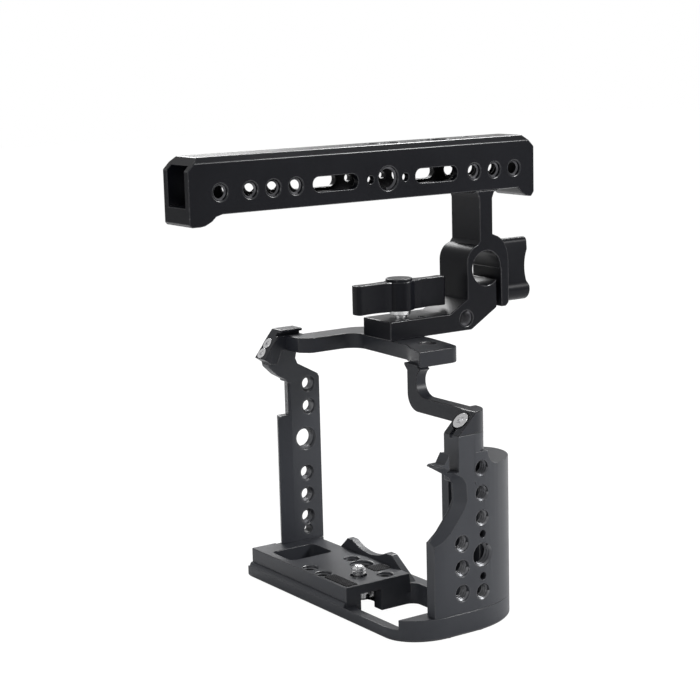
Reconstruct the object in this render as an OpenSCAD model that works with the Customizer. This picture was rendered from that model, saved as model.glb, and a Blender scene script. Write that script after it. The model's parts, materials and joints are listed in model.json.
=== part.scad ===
// Camera cage with a screwed-on top handle.
// Millimetres, +Z up. X runs along the camera's width, towards its grip side; +Y is the lens side.
// The origin is where the axis of the camera screw meets the seat that the camera stands on.

/* [Cage] */
// Width over the two side panels
cage_w = 119; // [115:0.5:130]
// Distance from the camera screw to the outside of the left panel
screw_from_left = 62.5; // [60:0.5:68]
// Distance from the camera screw to the back edge of the base
screw_from_back = 16; // [15:0.5:18]
// Depth of the base, back edge to lens side
base_d = 41; // [39:0.5:46]
// Height of the base under the camera's seat
base_h = 13; // [12:0.5:16]
// Height from the seat to the underside of the top frame
bay_h = 86.5; // [84:0.5:100]
// Distance from the left panel's outside to the middle of the lens hollow
lens_from_left = 45; // [42:0.5:46]

/* [Base plate] */
// Thickness of the base's lower plate
plate_t = 5; // [4:0.5:6.5]
// How far the lower plate stands out past the block
plate_lip = 1.5; // [0.5:0.25:2.5]
// Height of the front bar and of the bar under the grip
bar_h = 9; // [8:0.5:10]
// Width of the front bar
front_bar_w = 7.5; // [6:0.5:9]
// Width of the back bar beside the battery door
back_bar_w = 4.5; // [3.5:0.5:7]
// Length of the seat block past the camera screw
block_past_screw = 12; // [10:0.5:15]
// Distance from the battery door window to the outside of the grip
window_side = 9.5; // [9:0.5:16]
// Corner radius of the window
window_r = 4; // [2:0.5:6]
// Height of the lens horns over the seat
horn_h = 4.7; // [3:0.1:5.5]
// Distance between the two lens horns
horn_gap = 25; // [22:0.5:27]
// Radius of the hollow that clears the lens
lens_clear_r = 26; // [24:0.5:36]
// Length of the key pocket
pocket_l = 16; // [12:0.5:18]
// Width of the key pocket
pocket_w = 21; // [18:0.5:23]
// Depth of the key pocket
pocket_depth = 9; // [6:0.5:10]

/* [Camera screw] */
// Thread of the camera screw
camera_thread_d = 6.35; // [6.35, 9.525]
// How far the thread stands over the seat
camera_thread_up = 4.5; // [3.5:0.25:5.5]
// Diameter of the camera screw's head
camera_head_d = 13; // [12:0.5:15]
// Height of the camera screw's head
camera_head_h = 4.5; // [3.5:0.25:5]
// Width of the coin slot in the head
coin_slot_w = 1.8; // [1.2:0.1:2.4]
// Thickness of the web under the seat that the screw turns in
seat_web = 4; // [3:0.25:5]
// Thickness of the friction pads
pad_t = 1; // [0.8:0.1:1.5]

/* [Left panel] */
// Thickness of the left panel
left_t = 5.5; // [5:0.25:7]
// Width of the left panel, back to front
left_w = 22; // [21:0.5:24]
// Setback of the panel's narrow upper part
left_step = 5.5; // [4:0.25:6]
// Height of the centre of the left panel's lower hole group
left_low_z = 20.3; // [19:0.1:24]
// Distance of the left panel's upper hole pair below the top frame
left_high_drop = 21.6; // [21:0.1:23]

/* [Top frame] */
// Thickness of the top frame
top_t = 6.5; // [5.5:0.25:8]
// Width of the left leg, side to side
top_leg_w = 12.7; // [11:0.1:15]
// Depth of the cross arm, back to front
arm_d = 16; // [15:0.25:18]
// Height of the shoe lip over the top frame
lip_h = 2.5; // [2:0.25:4]
// Width of the step arm's upright
step_w = 6; // [5:0.25:8]
// Thickness of the step arm, back to front
step_t = 5.2; // [4.5:0.1:7]
// Drop of the step arm
step_drop = 25; // [23:0.5:28]
// Height of the step arm's lower bar
step_bar_h = 6.5; // [5.5:0.25:8]

/* [Grip panel] */
// Wall of the grip panel
grip_wall = 6; // [5:0.25:7]
// How far the grip stands out in front of the base
grip_out = 21; // [18:0.5:24]
// Length of the grip block, side to side
grip_len = 30.5; // [28:0.5:34]
// Height of the upright over the grip's finger ledge
upright_h = 14; // [13:0.5:16]
// Height of the lowest holes in the grip panel
grip_hole_z = 2.7; // [2.5:0.1:3.5]

/* [Threads and holes] */
// Major diameter of the quarter inch thread
quarter_d = 6.35; // [6.35:0.05:6.45]
// Major diameter of the three-eighths inch thread
three_eighths_d = 9.525; // [9.5:0.025:9.6]
// Width of the entry chamfer of a threaded hole
entry = 0.35; // [0.2:0.05:0.6]
// Spacing of the accessory holes
hole_pitch = 10; // [9.8:0.1:10.4]
// Distance of a locating pin hole from its threaded hole
locate_pitch = 8.6; // [8:0.1:9]
// Diameter of a locating pin hole
locate_d = 3.1; // [2.9:0.1:3.5]
// Gap round a stud in its tapped hole
stud_gap = 0.08; // [0.02:0.01:0.1]

/* [Handle bar] */
// Length of the handle bar
bar_len = 172; // [165:0.5:190]
// Width of the handle, side to side
handle_w = 20; // [19:0.5:24]
// Height of the handle bar
handle_h = 22.5; // [21:0.5:26]
// Wall of the handle bar
handle_wall = 3.2; // [2.6:0.1:4]
// Chamfer along the bar's edges
bar_chamfer = 2.2; // [1:0.1:3]
// Depth of the finger stops under the bar's ends
stop_h = 4.3; // [3:0.1:6]
// Distance from the bar's back end to the foot screw
bar_back_reach = 105.5; // [98:0.5:108]
// Height of the bar's underside over the top frame
hand_room = 59.5; // [56:0.5:70]
// Spacing of the small holes in the bar
bar_pitch = 10.6; // [9.8:0.1:11]
// Length of the bar's side slots
slot_len = 22; // [16:0.5:23]
// Height of the bar's side slots
slot_h = 6; // [5:0.25:8]

/* [Handle neck] */
// Thickness of the neck, back to front
neck_t = 7; // [6:0.25:9]
// Height of the foot
foot_h = 8; // [7:0.25:10]
// Distance from the foot's back end to its screw
foot_back = 12; // [11.5:0.25:15]
// Distance from the foot screw to the rod
rod_forward = 39.5; // [38:0.25:41]
// Height of the rod over the foot's underside
rod_up = 26; // [25:0.25:28]
// Diameter of the rod that the clamp takes
rod_d = 15; // [14.8:0.1:15.2]
// Running clearance between rod and clamp, on the diameter
rod_gap = 0.1; // [0.05:0.01:0.2]
// Width of the clamp's slit
slit_w = 2.6; // [1.2:0.1:2.8]
// Thickness of the clamp's jaw
jaw_t = 4.2; // [4:0.1:6]

/* [Knobs] */
// Length of the foot knob over its two wings
foot_knob_len = 46; // [36:0.5:50]
// Height of the foot knob's wings
foot_knob_h = 12.5; // [10:0.25:14]
// Thickness of the foot knob's wings
foot_knob_t = 5.8; // [4:0.1:7]
// Diameter of the foot knob's hub
foot_hub_d = 13; // [11:0.25:15]
// Reach of the clamp lever from its axis
lever_reach = 23; // [18:0.5:28]
// Length of the clamp lever along its axis
lever_len = 14; // [10:0.25:15]
// Thickness of the clamp lever
lever_t = 4.4; // [3.5:0.1:6]
// Diameter of the clamp lever's hub
lever_hub_d = 10; // [9:0.25:12]
// Diameter of the clamp screw
clamp_screw_d = 5; // [4:0.1:5]

/* [Hidden] */

$fn = 48;
eps = 0.01;      // overlap that keeps cuts clean

// colours
black = [0.07, 0.07, 0.08];
dark_grey = [0.15, 0.155, 0.17];
silver = [0.78, 0.79, 0.80];
pad_black = [0.10, 0.10, 0.10];

// the cage's own planes
x_left = -screw_from_left;
x_right = x_left + cage_w;
y_back = -screw_from_back;
y_front = y_back + base_d;
z_bottom = -base_h;
z_seam = z_bottom + bar_h;
z_plate = z_bottom + plate_t;
z_arm = bay_h;
z_top = bay_h + top_t;
lens_x = x_left + lens_from_left;

// heights that follow the top frame
left_high_z = z_arm - left_high_drop;
mid_lift = 0.6;               // the left panel's large thread lies this much over the middle
left_mid_z = (left_low_z + hole_pitch / 2 + left_high_z) / 2 + mid_lift;
grip_top_z = z_top - step_drop - 1;
ledge_z = grip_top_z - upright_h;

// plan of the base's grip end
turn_rx = 16.5;               // back corner of the grip end, half width
turn_ry = 20;                 // and half depth
flat_end = y_back + 33;       // where the grip end stops being flat
nose_rx = 20;                 // front corner of the grip, half width
grip_front = y_front + grip_out;
grip_left = x_right - grip_len;
grip_left_r = 10;             // corner radius at the grip's inner front
arc_steps = 16;               // straight pieces in a quarter of a round outline

// base details
block_x = block_past_screw;
block_inset = plate_lip;
block_front = y_front - front_bar_w;
window_x = block_x;
window_end = x_right - window_side;
window_back = y_back + back_bar_w;
horn_w = 3.7;                 // flat top of a horn
horn_run = 5;                 // length of the left horn's outer slope
horn_t = 3.2;                 // thickness of the horns, back to front
pocket_x = x_left + 12.5;     // left end of the key pocket
pocket_y = y_back + 5;        // back side of the key pocket
head_gap = 0.6;               // room round the camera screw's head
head_sink = 0.2;              // the base screws' heads lie this far under the base's face
panel_sink = 0.4;             // depth of the step that the left panel stands in
pad_w = 6.5;                  // width of a friction pad
pad_sink = 0.7;               // depth of a friction pad's pocket

// left panel details
left_front = y_back + 36.6;   // front edge of the left panel
left_crease = 15;             // distance of the crease from the front edge
left_low_bend = z_arm - 14;   // height where the panel starts to lean back
left_neck_z = left_high_z - 4.9; // height where it gets narrower
left_notch_z = 4.5;           // height of the small relief notch
left_hole_y = left_front - 7.9;
left_hole_shift = 2;          // the upper pair lies this much further forward

// the slanted joint between the left panel and the top frame
ear_back = y_back + 10.4;     // rearmost face of the joint
ear_w = 7.8;                  // width of the lip and the ear
ear_low = z_arm - 5.5;
ear_run = 6;                  // how far the slant runs back
ear_rise = 7.8;               // and how far it drops
ear_wall = 3.6;               // thickness of the ear's slanted wall
ear_front = 11;               // front end of the lip
slant = atan2(ear_rise, ear_run);

// top frame details
leg_back = y_back + 19;       // back face of the left block
leg_corner = 3.5;             // chamfer at the block's corner
block_len = 17;               // length of the left block, side to side
arm_back = y_back + 45.5;     // back face of the cross arm
arm_front = arm_back + arm_d;
step_y = y_back + 37.2;       // back face of the step arm
step_x = block_x + 4.5;       // outer end of the cross arm
step_in = block_x - 4.5;      // inner face of the step arm's upright
step_r = (step_drop - top_t - step_bar_h) / 2; // inner radius of the step arm

// lug that the step arm ends in
lug_w = 9.5;
lug_h = 8.5;
lug_r = 9;                    // round front corner of the lug
lug_front = step_y + step_t;
lug_back = y_back + 23.5;
cut_top = lug_front - 8.2;    // where the slanted face leaves the lug's top
cut_angle = 44;               // slope of that face

// grip panel details
grip_back = -2.5;             // back edge of the panel's lower part
grip_inner = y_front - 1;     // face of the grip towards the camera
grip_hole_y = flat_end + 4; // main column of holes
column_gap = 10.4;            // distance of the second column
thumb_bevel = 3.2;            // depth of the bevel round the thumb recess
thumb_low = 18;               // height of the recess's lower end
ledge_fillet = 6.5;           // radius between the ledge and the upright behind it

// handle
foot_x = x_left + 40.5;
foot_y = y_back + 55.5;
z_bar = z_top + hand_room;
z_bar_top = z_bar + handle_h;
bar_back = foot_y - bar_back_reach;
bar_front = bar_back + bar_len;
bar_mid_z = z_bar + 8.6;
bar_end_cut = 5;              // chamfer at the top of the bar's ends
stop_len = 7;                 // length of a finger stop
stop_run = 8;                 // its slope
rod_y = foot_y + rod_forward;
rod_z = z_top + rod_up;
slit_y = rod_y + 5.5;
jaw_back = slit_y + slit_w;
jaw_front = jaw_back + jaw_t;
neck_y = rod_y - 3.3;
clamp_back = rod_y - 10.4;
clamp_z = z_top + 13.6;
jaw_low = z_top + 8.3;
foot_top = z_top + foot_h;
foot_tip = foot_y + 31.1;     // front end of the foot's underside
pin_x = 6;                    // half spacing of the foot's locating pins
pin_y = foot_y - 6;
knob_lift = 3;                // gap between foot and knob that shows the washer
knob_z = foot_top + knob_lift;
lever_gap = 2.3;              // gap between jaw and lever, filled by the washer
lever_y = jaw_front + lever_gap;
knob_hollow_r = 25;           // radius of the hollows in the foot knob's wings
knob_hollow_depth = 0.8;
knob_hollow_y = foot_knob_len * 0.33;
lever_hollow_r = 20;          // radius of the finger hollow in the clamp lever

// socket head screws: thread diameter, head diameter, head height
m3_d = 3;
m3_head = 5.4;
m3_head_h = 2.6;
m4_d = 4;
m4_head = 7;
m4_head_h = 3;

function arc(cx, cy, rx, ry, from, to, steps = arc_steps) =
    [for (i = [0:steps]) let (a = from + (to - from) * i / steps) [cx + rx * cos(a), cy + ry * sin(a)]];

// a cylinder along X or Y, from a point
module along_x(x, y, z, d, len) {
    translate([x, y, z]) rotate([0, 90, 0]) cylinder(d = d, h = len);
}

module along_y(x, y, z, d, len) {
    translate([x, y, z]) rotate([-90, 0, 0]) cylinder(d = d, h = len);
}

// an entry chamfer whose wide side is at z = 0 and that narrows upwards
module countersink(d) {
    translate([0, 0, -eps]) cylinder(d1 = d + 2 * entry + 2 * eps, d2 = d, h = entry + eps);
}

// a tapped hole upwards from z = 0, chamfered at its mouth and, when it goes through, at its far end
module tapped(d, len, through = true) {
    translate([0, 0, -eps]) cylinder(d = d, h = len + (through ? 2 * eps : eps));
    countersink(d);
    if (through) translate([0, 0, len]) mirror([0, 0, 1]) countersink(d);
}

module tapped_x(x, y, z, d, len) {
    translate([x, y, z]) rotate([0, 90, 0]) tapped(d, len);
}

// a slab along X whose outline is drawn in Y and Z
module slab_x(x, len) {
    translate([x, 0, 0]) rotate([90, 0, 90]) linear_extrude(len) children();
}

// a slab along Y, from y to y + len, whose outline is drawn in X and Z
module slab_y(y, len) {
    translate([0, y + len, 0]) rotate([90, 0, 0]) linear_extrude(len) children();
}

// a socket head screw: the head's top is at z = 0 and the thread points down
module socket_screw(d, head, head_h, len) {
    key = d * 0.83;
    difference() {
        union() {
            translate([0, 0, -head_h]) cylinder(d = head, h = head_h);
            translate([0, 0, -head_h - len]) cylinder(d = d - 2 * stud_gap, h = len + eps);
        }
        translate([0, 0, -head_h * 0.6]) cylinder(d = key, h = head_h, $fn = 6);
    }
}

// the room that such a screw needs: counterbore and tapped or plain hole
module screw_room(d, head, head_h, len) {
    translate([0, 0, -head_h]) cylinder(d = head + 0.4, h = head_h + 30);
    translate([0, 0, -head_h - len - 0.5]) cylinder(d = d, h = len + 1);
}

// a rectangle with rounded corners
module round_rect(x0, y0, x1, y1, r) {
    polygon(concat(arc(x1 - r, y1 - r, r, r, 0, 90, 6), arc(x0 + r, y1 - r, r, r, 90, 180, 6),
                   arc(x0 + r, y0 + r, r, r, 180, 270, 6), arc(x1 - r, y0 + r, r, r, 270, 360, 6)));
}

// plan of the grip end from the back bar round to the inner front corner
function grip_end() = concat(
    arc(x_right - turn_rx, y_back + turn_ry, turn_rx, turn_ry, -90, 0),
    arc(x_right - nose_rx, flat_end, nose_rx, grip_front - flat_end, 0, 90),
    arc(grip_left + grip_left_r, grip_front - grip_left_r, grip_left_r, grip_left_r, 90, 180, 8),
    [[grip_left, y_front]]);

module base_plan() {
    polygon(concat([[x_left, y_front], [x_left, y_back]], grip_end()));
}

module horns_outline() {
    half = horn_gap / 2;
    dip = lens_clear_r * cos(asin(half / lens_clear_r));
    foot = z_seam - 1;
    polygon(concat(
        [[lens_x - half - horn_w - horn_run, foot],
         [lens_x - half - horn_w - horn_run, 0],
         [lens_x - half - horn_w, horn_h]],
        arc(lens_x, horn_h + dip, lens_clear_r, lens_clear_r,
            270 - asin(half / lens_clear_r), 270 + asin(half / lens_clear_r), 14),
        [[lens_x + half + horn_w, horn_h], [block_x, z_seam], [block_x, foot]]));
}

// places of the tapped holes in the seat: x, y, thread
function seat_holes() = [
    [-20.6, y_back + 5.6, quarter_d],
    [-20.6 + hole_pitch, y_back + 5.6, quarter_d],
    [-20.6, block_front - 6.8, quarter_d],
    [-11.8, block_front - 7.8, three_eighths_d],
    [block_x - 5.6, block_front - 8.6, quarter_d]];

// places of the screws that hold the side panels from below
function left_screw_y() = [left_front - 17, left_front - 4];
left_screw_x = x_left + left_t / 2;
function grip_screws() = [[x_right - 4, flat_end - 12], [x_right - 4.2, flat_end + 3],
                          [grip_left + 8, grip_front - 6]];

module base_plate() {
    color(dark_grey) difference() {
        union() {
            translate([0, 0, z_bottom]) linear_extrude(plate_t) base_plan();
            translate([0, 0, z_bottom]) linear_extrude(bar_h) intersection() {
                base_plan();
                union() {
                    translate([x_left, block_front]) square([cage_w, grip_front]);
                    translate([window_end, y_back]) square([cage_w, base_d]);
                }
            }
            translate([x_left + block_inset, y_back + block_inset, z_bottom])
                cube([block_x - x_left - block_inset, block_front - y_back - block_inset + eps, base_h]);
            // foot of the left panel reaches the front bar
            translate([x_left, left_front - left_crease, z_bottom])
                cube([left_t, left_crease, base_h]);
            slab_y(block_front, horn_t) horns_outline();
        }
        // battery door window
        translate([0, 0, z_bottom - 1]) linear_extrude(base_h)
            round_rect(window_x, window_back, window_end, block_front + 2, window_r);
        // key pocket
        translate([0, 0, -pocket_depth]) linear_extrude(base_h)
            round_rect(pocket_x, pocket_y, pocket_x + pocket_l, pocket_y + pocket_w, 2.5);
        // the camera screw turns in the web, and its head has a bay that is open to the window
        translate([0, 0, -base_h]) cylinder(d = camera_thread_d + 0.6, h = base_h + 1);
        translate([0, 0, z_bottom - 1])
            cylinder(d = camera_head_d + 2 * head_gap, h = base_h - seat_web + 1);
        translate([0, -camera_head_d / 2 - head_gap, z_bottom - 1])
            cube([block_x + 1, camera_head_d / 2 + head_gap + 3, base_h - seat_web + 1]);
        // step that the left panel stands in
        translate([x_left - 1, left_front - left_w - 1, -panel_sink]) cube([left_t + 1, left_w + 2, 1]);
        // pockets of the friction pads
        translate([0, 0, -pad_sink]) linear_extrude(1) rear_pad_plan(0.1);
        translate([0, 0, -pad_sink]) linear_extrude(1) front_pad_plan(0.1);
        for (h = seat_holes()) translate([h[0], h[1], z_bottom]) tapped(h[2], base_h);
        for (y = left_screw_y()) translate([left_screw_x, y, z_bottom]) mirror([0, 0, 1])
            screw_room(m3_d, m3_head, m3_head_h + head_sink, base_h);
        for (s = grip_screws()) translate([s[0], s[1], z_bottom]) mirror([0, 0, 1])
            screw_room(m3_d, m3_head, m3_head_h + head_sink, bar_h);
    }
}

module rear_pad_plan(grow) {
    back = y_back + block_inset + 1.5;
    round_rect(-camera_thread_d - grow, back - grow, block_x - 1.5 + grow, back + pad_w - 1 + grow, 1);
}

module front_pad_plan(grow) {
    front = block_front - 1.5;
    round_rect(-camera_thread_d - grow, front - pad_w - 1.5 - grow, 1 + grow, front + grow, 1);
}

module rear_friction_pad() {
    color(pad_black) translate([0, 0, -pad_sink]) linear_extrude(pad_t) rear_pad_plan(0);
}

module front_friction_pad() {
    color(pad_black) translate([0, 0, -pad_sink]) linear_extrude(pad_t) front_pad_plan(0);
}

// the screw has a narrow shank under its thread, so the clip keeps it in the web
module camera_screw() {
    thread = camera_thread_d - 2 * stud_gap;
    color(silver) difference() {
        union() {
            translate([0, 0, -seat_web - camera_head_h]) cylinder(d = camera_head_d, h = camera_head_h - 0.3);
            translate([0, 0, -seat_web - 1]) cylinder(d = camera_thread_d - 1.2, h = seat_web + 2);
            translate([0, 0, 0.1]) cylinder(d = thread, h = camera_thread_up - 0.7);
            translate([0, 0, camera_thread_up - 0.6]) cylinder(d1 = thread, d2 = thread - 1, h = 0.6);
        }
        translate([-camera_head_d, -coin_slot_w / 2, -seat_web - camera_head_h - 1])
            cube([2 * camera_head_d, coin_slot_w, 2.5]);
    }
}

module camera_screw_clip() {
    clip_t = 0.25;
    color(silver) translate([0, 0, -seat_web - 0.28]) difference() {
        cylinder(d = camera_head_d - 3, h = clip_t);
        translate([0, 0, -1]) cylinder(d = camera_thread_d - 1.16, h = 3);
    }
}

// side view of the left panel: y, z
module left_panel_outline() {
    back = left_front - left_w;
    neck = back + left_step;
    fold = left_front - 11;
    polygon([
        [back, -panel_sink], [left_front, -panel_sink], [left_front, left_low_bend], [left_front - 0.8, left_low_bend + 1.5],
        [fold, left_low_bend + 7.1], [fold - 1, left_low_bend + 9.5], [fold, z_arm],
        [ear_inner(z_arm), z_arm], [ear_inner(ear_low), ear_low], [ear_back, ear_low],
        [ear_back + 0.5, ear_low - 1.5], [neck - 5, left_low_bend + 3], [neck - 0.7, left_low_bend + 0.5],
        [neck, left_low_bend - 2], [neck, left_neck_z], [neck - 1.5, left_neck_z - 1.5],
        [back + 0.5, left_neck_z - 4.5], [back, left_neck_z - 6.5]]);
}

// y of the joint's inner plane at height z
function ear_inner(z) = ear_back + ear_wall + (z - ear_low) * ear_run / ear_rise * 0.55;

module left_side_panel() {
    color(dark_grey) difference() {
        slab_x(x_left, left_t) left_panel_outline();
        // the back strip thins towards its edge, past the crease
        translate([x_left + left_t, left_front - left_crease, -1]) rotate([0, 0, -102])
            cube([left_w, left_t, left_low_bend]);
        // and its outer corner is taken off
        translate([x_left, left_front - left_w + 2.8, -1]) rotate([0, 0, -27])
            translate([-2, -left_t, 0]) cube([left_w, left_t, left_low_bend]);
        translate([x_left, left_front - left_w + left_step + 1.6, left_neck_z - 3]) rotate([0, 0, -16])
            translate([-2, -left_t, 0]) cube([left_w, left_t, left_low_bend - left_neck_z + 2.5]);
        for (z = [left_low_z - hole_pitch, left_low_z, left_low_z + hole_pitch])
            tapped_x(x_left, left_hole_y, z, quarter_d, left_t);
        tapped_x(x_left, left_hole_y, left_mid_z, three_eighths_d, left_t);
        for (z = [left_high_z - hole_pitch / 2, left_high_z + hole_pitch / 2])
            tapped_x(x_left, left_hole_y + left_hole_shift, z, quarter_d, left_t);
        along_x(x_left - 1, left_hole_y, left_notch_z, 4, left_t + 2);
        for (y = left_screw_y()) translate([left_screw_x, y, -1]) cylinder(d = m3_d, h = 7);
        left_top_holes(8);
    }
}

// the two screws of the slanted joint, along the slant
function ear_screws() = [7.2, 12.2];
module at_ear_screws() {
    for (s = ear_screws())
        translate([x_left + ear_w / 2 - 1, ear_back + ear_run - s * cos(slant), z_top + lip_h - s * sin(slant)])
            rotate([slant, 0, 0]) children();
}

ear_head_h = 1.6;
ear_screw_len = 6;

module left_top_holes(len) {
    at_ear_screws() {
        translate([0, 0, -ear_head_h]) cylinder(d = 5.2, h = ear_head_h + 6);
        translate([0, 0, -ear_head_h - len]) cylinder(d = m3_d, h = len + 1);
    }
}

module left_top_screws() {
    color(silver) at_ear_screws() translate([0, 0, 0.1]) socket_screw(m3_d, 4.9, ear_head_h, ear_screw_len);
}

module arm_plan() {
    leg_x = x_left + 8.5;
    leg_in = leg_x + top_leg_w;
    r = 7;
    corner_r = 6;
    polygon(concat(
        [[x_left, leg_back - 0.8], [x_left + block_len, leg_back],
         [leg_in - 0.5, leg_back + leg_corner], [leg_in, leg_back + leg_corner + 1.5]],
        arc(leg_in + r, arm_back - r, r, r, 180, 90, 8),
        [[step_x - 18.5, arm_back - 1.6], [step_x - 10, step_y + 3], [step_x, step_y]],
        arc(step_x - 5, arm_front - 8, 5, 5, 0, 75, 6),
        [[step_x - 8, arm_front - 2.3], [step_x - 16, arm_front - 1.1], [step_x - 26, arm_front]],
        arc(leg_x + 14, arm_front - 12, 14, 12, 90, 180, 8),
        [[leg_x, ear_front], [x_left, ear_front]]));
}

// side view of the ear and the shoe lip: y, z
module ear_outline() {
    polygon([
        [ear_back + ear_run, z_top + lip_h], [ear_front, z_top + lip_h], [ear_front, z_arm],
        [ear_inner(z_arm), z_arm], [ear_inner(ear_low), ear_low], [ear_back, ear_low],
        [ear_back, z_top + lip_h - ear_rise]]);
}

// front view of the step arm: x, z
module step_outline() {
    out_x = step_in + step_w;
    in_x = step_in;
    low = grip_top_z + 1;
    polygon(concat(
        [[in_x - 2, z_arm], [in_x, z_arm - 2]],
        arc(in_x + 7, low + 7, 7, 7, 180, 270, 8),
        [[x_right - lug_w, low], [x_right - lug_w, low + step_bar_h]],
        arc(out_x + step_r, low + step_bar_h + step_r, step_r, step_r, 270, 180, 8),
        arc(out_x + step_r, z_arm - step_r, step_r, step_r, 180, 120, 6),
        [[out_x, z_arm + 1], [in_x - 2, z_arm + 1]]));
}

module slanted_cut(x0, x1) {
    // removes what lies behind and above the lug's slanted face
    translate([x0, cut_top, grip_top_z + lug_h]) rotate([cut_angle, 0, 0])
        translate([0, -40, 0]) cube([x1 - x0, 40, 30]);
}

grip_screw_x = x_right - 4.9;
grip_screw_s = 5.2;           // place of the screw down the slanted face
module at_grip_screw() {
    translate([grip_screw_x, cut_top, grip_top_z + lug_h]) rotate([cut_angle, 0, 0])
        translate([0, -grip_screw_s, 0]) children();
}

module lug() {
    r = lug_r;
    difference() {
        translate([0, 0, grip_top_z]) linear_extrude(lug_h)
            polygon(concat([[x_right - lug_w, lug_back], [x_right, lug_back]],
                           arc(x_right - r, lug_front - r, r, r, 0, 90, 8),
                           [[x_right - lug_w - 1, lug_front], [x_right - lug_w - 1, step_y],
                            [x_right - lug_w, step_y]]));
        slanted_cut(x_right - lug_w - 1, x_right + 1);
    }
}

module top_frame() {
    color(black) difference() {
        union() {
            translate([0, 0, z_arm]) linear_extrude(top_t) arm_plan();
            slab_x(x_left, ear_w) ear_outline();
            slab_y(step_y, step_t) step_outline();
            lug();
        }
        // groove under the shoe lip
        translate([x_left + ear_w - 2.2, ear_back, z_top]) cube([3, 30, lip_h * 0.5]);
        left_top_holes(8);
        at_grip_screw() {
            translate([0, 0, -2.5]) cylinder(d = m4_head + 0.9, h = 20);
            translate([0, 0, -12]) cylinder(d = m4_d, h = 12);
            // the groove that lets the key in
            translate([-0.9, -20, -1]) cube([1.8, 20, 20]);
        }
        // thread for the foot screw and holes for its locating pins
        translate([foot_x, foot_y, z_arm]) tapped(quarter_d, top_t);
        for (side = [-1, 1]) translate([foot_x + side * pin_x, pin_y, z_arm - 1])
            cylinder(d = locate_d, h = top_t + 2);
        // spare accessory thread on the right end of the arm
        translate([step_x - 15, arm_back + 7, z_arm]) tapped(quarter_d, top_t);
    }
}

// plan of the grip panel's wall
module grip_wall_plan() {
    difference() {
        polygon(concat(grip_end(), [[grip_left, grip_inner], [x_right - grip_wall, grip_inner],
                                    [x_right - grip_wall, grip_back]]));
        // what lies behind the panel's back edge
        translate([x_left, y_back - 1]) square([cage_w + 1, grip_back - y_back + 1]);
    }
}

// the hollow behind the finger grip, which takes the camera's own grip
module grip_hollow_plan() {
    front = grip_front - 5;
    side = grip_left + 4.5;
    polygon(concat(
        [[side, grip_inner - 10], [x_right - grip_wall, grip_inner - 10]],
        arc(x_right - nose_rx, flat_end, nose_rx - grip_wall, front - flat_end, 0, 90),
        arc(grip_left + grip_left_r, front - 5, grip_left_r - 4.5, 5, 90, 180, 6)));
}

// outer edge of the thumb recess, with its depth direction turned by an angle: y, z.
// The second number is the height over the recess, stretched with the height of the ledge.
function thumb_points(shift, turn) = let (far = grip_back - 12, stretch = (ledge_z - thumb_low) / 35)
    [for (p = [[far, 41], [-2.5, 39.8], [2.8, 37.6], [7.5, 34.8], [11.4, 32.4], [13.2, 29.6], [13.5, 23],
               [12.2, 20], [9.1, 16], [5.1, 11.3], [1.5, 8.4], [-6, 4.4], [far, 0]])
        [(p[0] - shift) * cos(turn), thumb_low + p[1] * stretch]];

module grip_panel() {
    tower_x = x_right - lug_w;
    color(dark_grey) difference() {
        union() {
            translate([0, 0, z_seam]) linear_extrude(ledge_z - z_seam) grip_wall_plan();
            // the upright that carries the top frame's lug
            translate([0, 0, ledge_z - 5]) linear_extrude(grip_top_z - ledge_z + 5) intersection() {
                grip_top_plan();
                union() {
                    translate([tower_x, lug_back + 2]) square([lug_w, lug_front - lug_back]);
                    translate([x_right - grip_wall, grip_back]) square([grip_wall, lug_back]);
                }
            }
            // and the fillet at its foot
            difference() {
                translate([0, 0, ledge_z - 5]) linear_extrude(5 + ledge_fillet) intersection() {
                    polygon(concat(grip_end(), [[tower_x, grip_inner], [tower_x, y_back]]));
                    translate([tower_x, lug_front - lug_r]) square([lug_w, lug_r + ledge_fillet]);
                }
                along_x(tower_x - 1, lug_front + ledge_fillet - 2, ledge_z + ledge_fillet, 2 * ledge_fillet,
                        lug_w + 2);
                translate([tower_x - 1, lug_front + ledge_fillet - 2, ledge_z]) cube([lug_w + 2, 20, 20]);
            }
        }
        // hollow for the camera's own grip, closed by the finger ledge
        translate([0, 0, z_seam + 4]) linear_extrude(ledge_z - z_seam - 10) grip_hollow_plan();
        slanted_cut(x_right - lug_w - 1, x_right + 1);
        // thumb recess, wider outside than inside
        // back edge of the wall above the thumb recess
        slab_x(x_right - lug_w - 1, lug_w + 2)
            polygon([[grip_back - 9, grip_top_z + 9], [6.6, grip_top_z - 2], [5.4, grip_top_z - 5.5],
                     [2.6, grip_top_z - 10], [grip_back - 9, grip_top_z - 10]]);
        slab_x(x_right - grip_wall - 8, grip_wall + 4) polygon(thumb_points(thumb_bevel, 0));
        translate([x_right, 0, 0]) rotate([0, 0, 45]) slab_x(-12, 24) polygon(thumb_points(0, 45));
        grip_holes();
        for (s = grip_screws()) translate([s[0], s[1], z_seam - 1]) cylinder(d = m3_d, h = 6);
        at_grip_screw() {
            translate([0, 0, -14]) cylinder(d = m4_d, h = 12);
            translate([-0.9, -20, -1]) cube([1.8, 20, 20]);
        }
    }
}

// plan of the upright: the grip's outside and the lug's round corner
module grip_top_plan() {
    polygon(concat(
        arc(x_right - turn_rx, y_back + turn_ry, turn_rx, turn_ry, -60, 0),
        arc(x_right - lug_r, lug_front - lug_r, lug_r, lug_r, 0, 90, 8),
        [[x_right - lug_w - 1, lug_front], [x_right - lug_w - 1, y_back]]));
}

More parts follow.
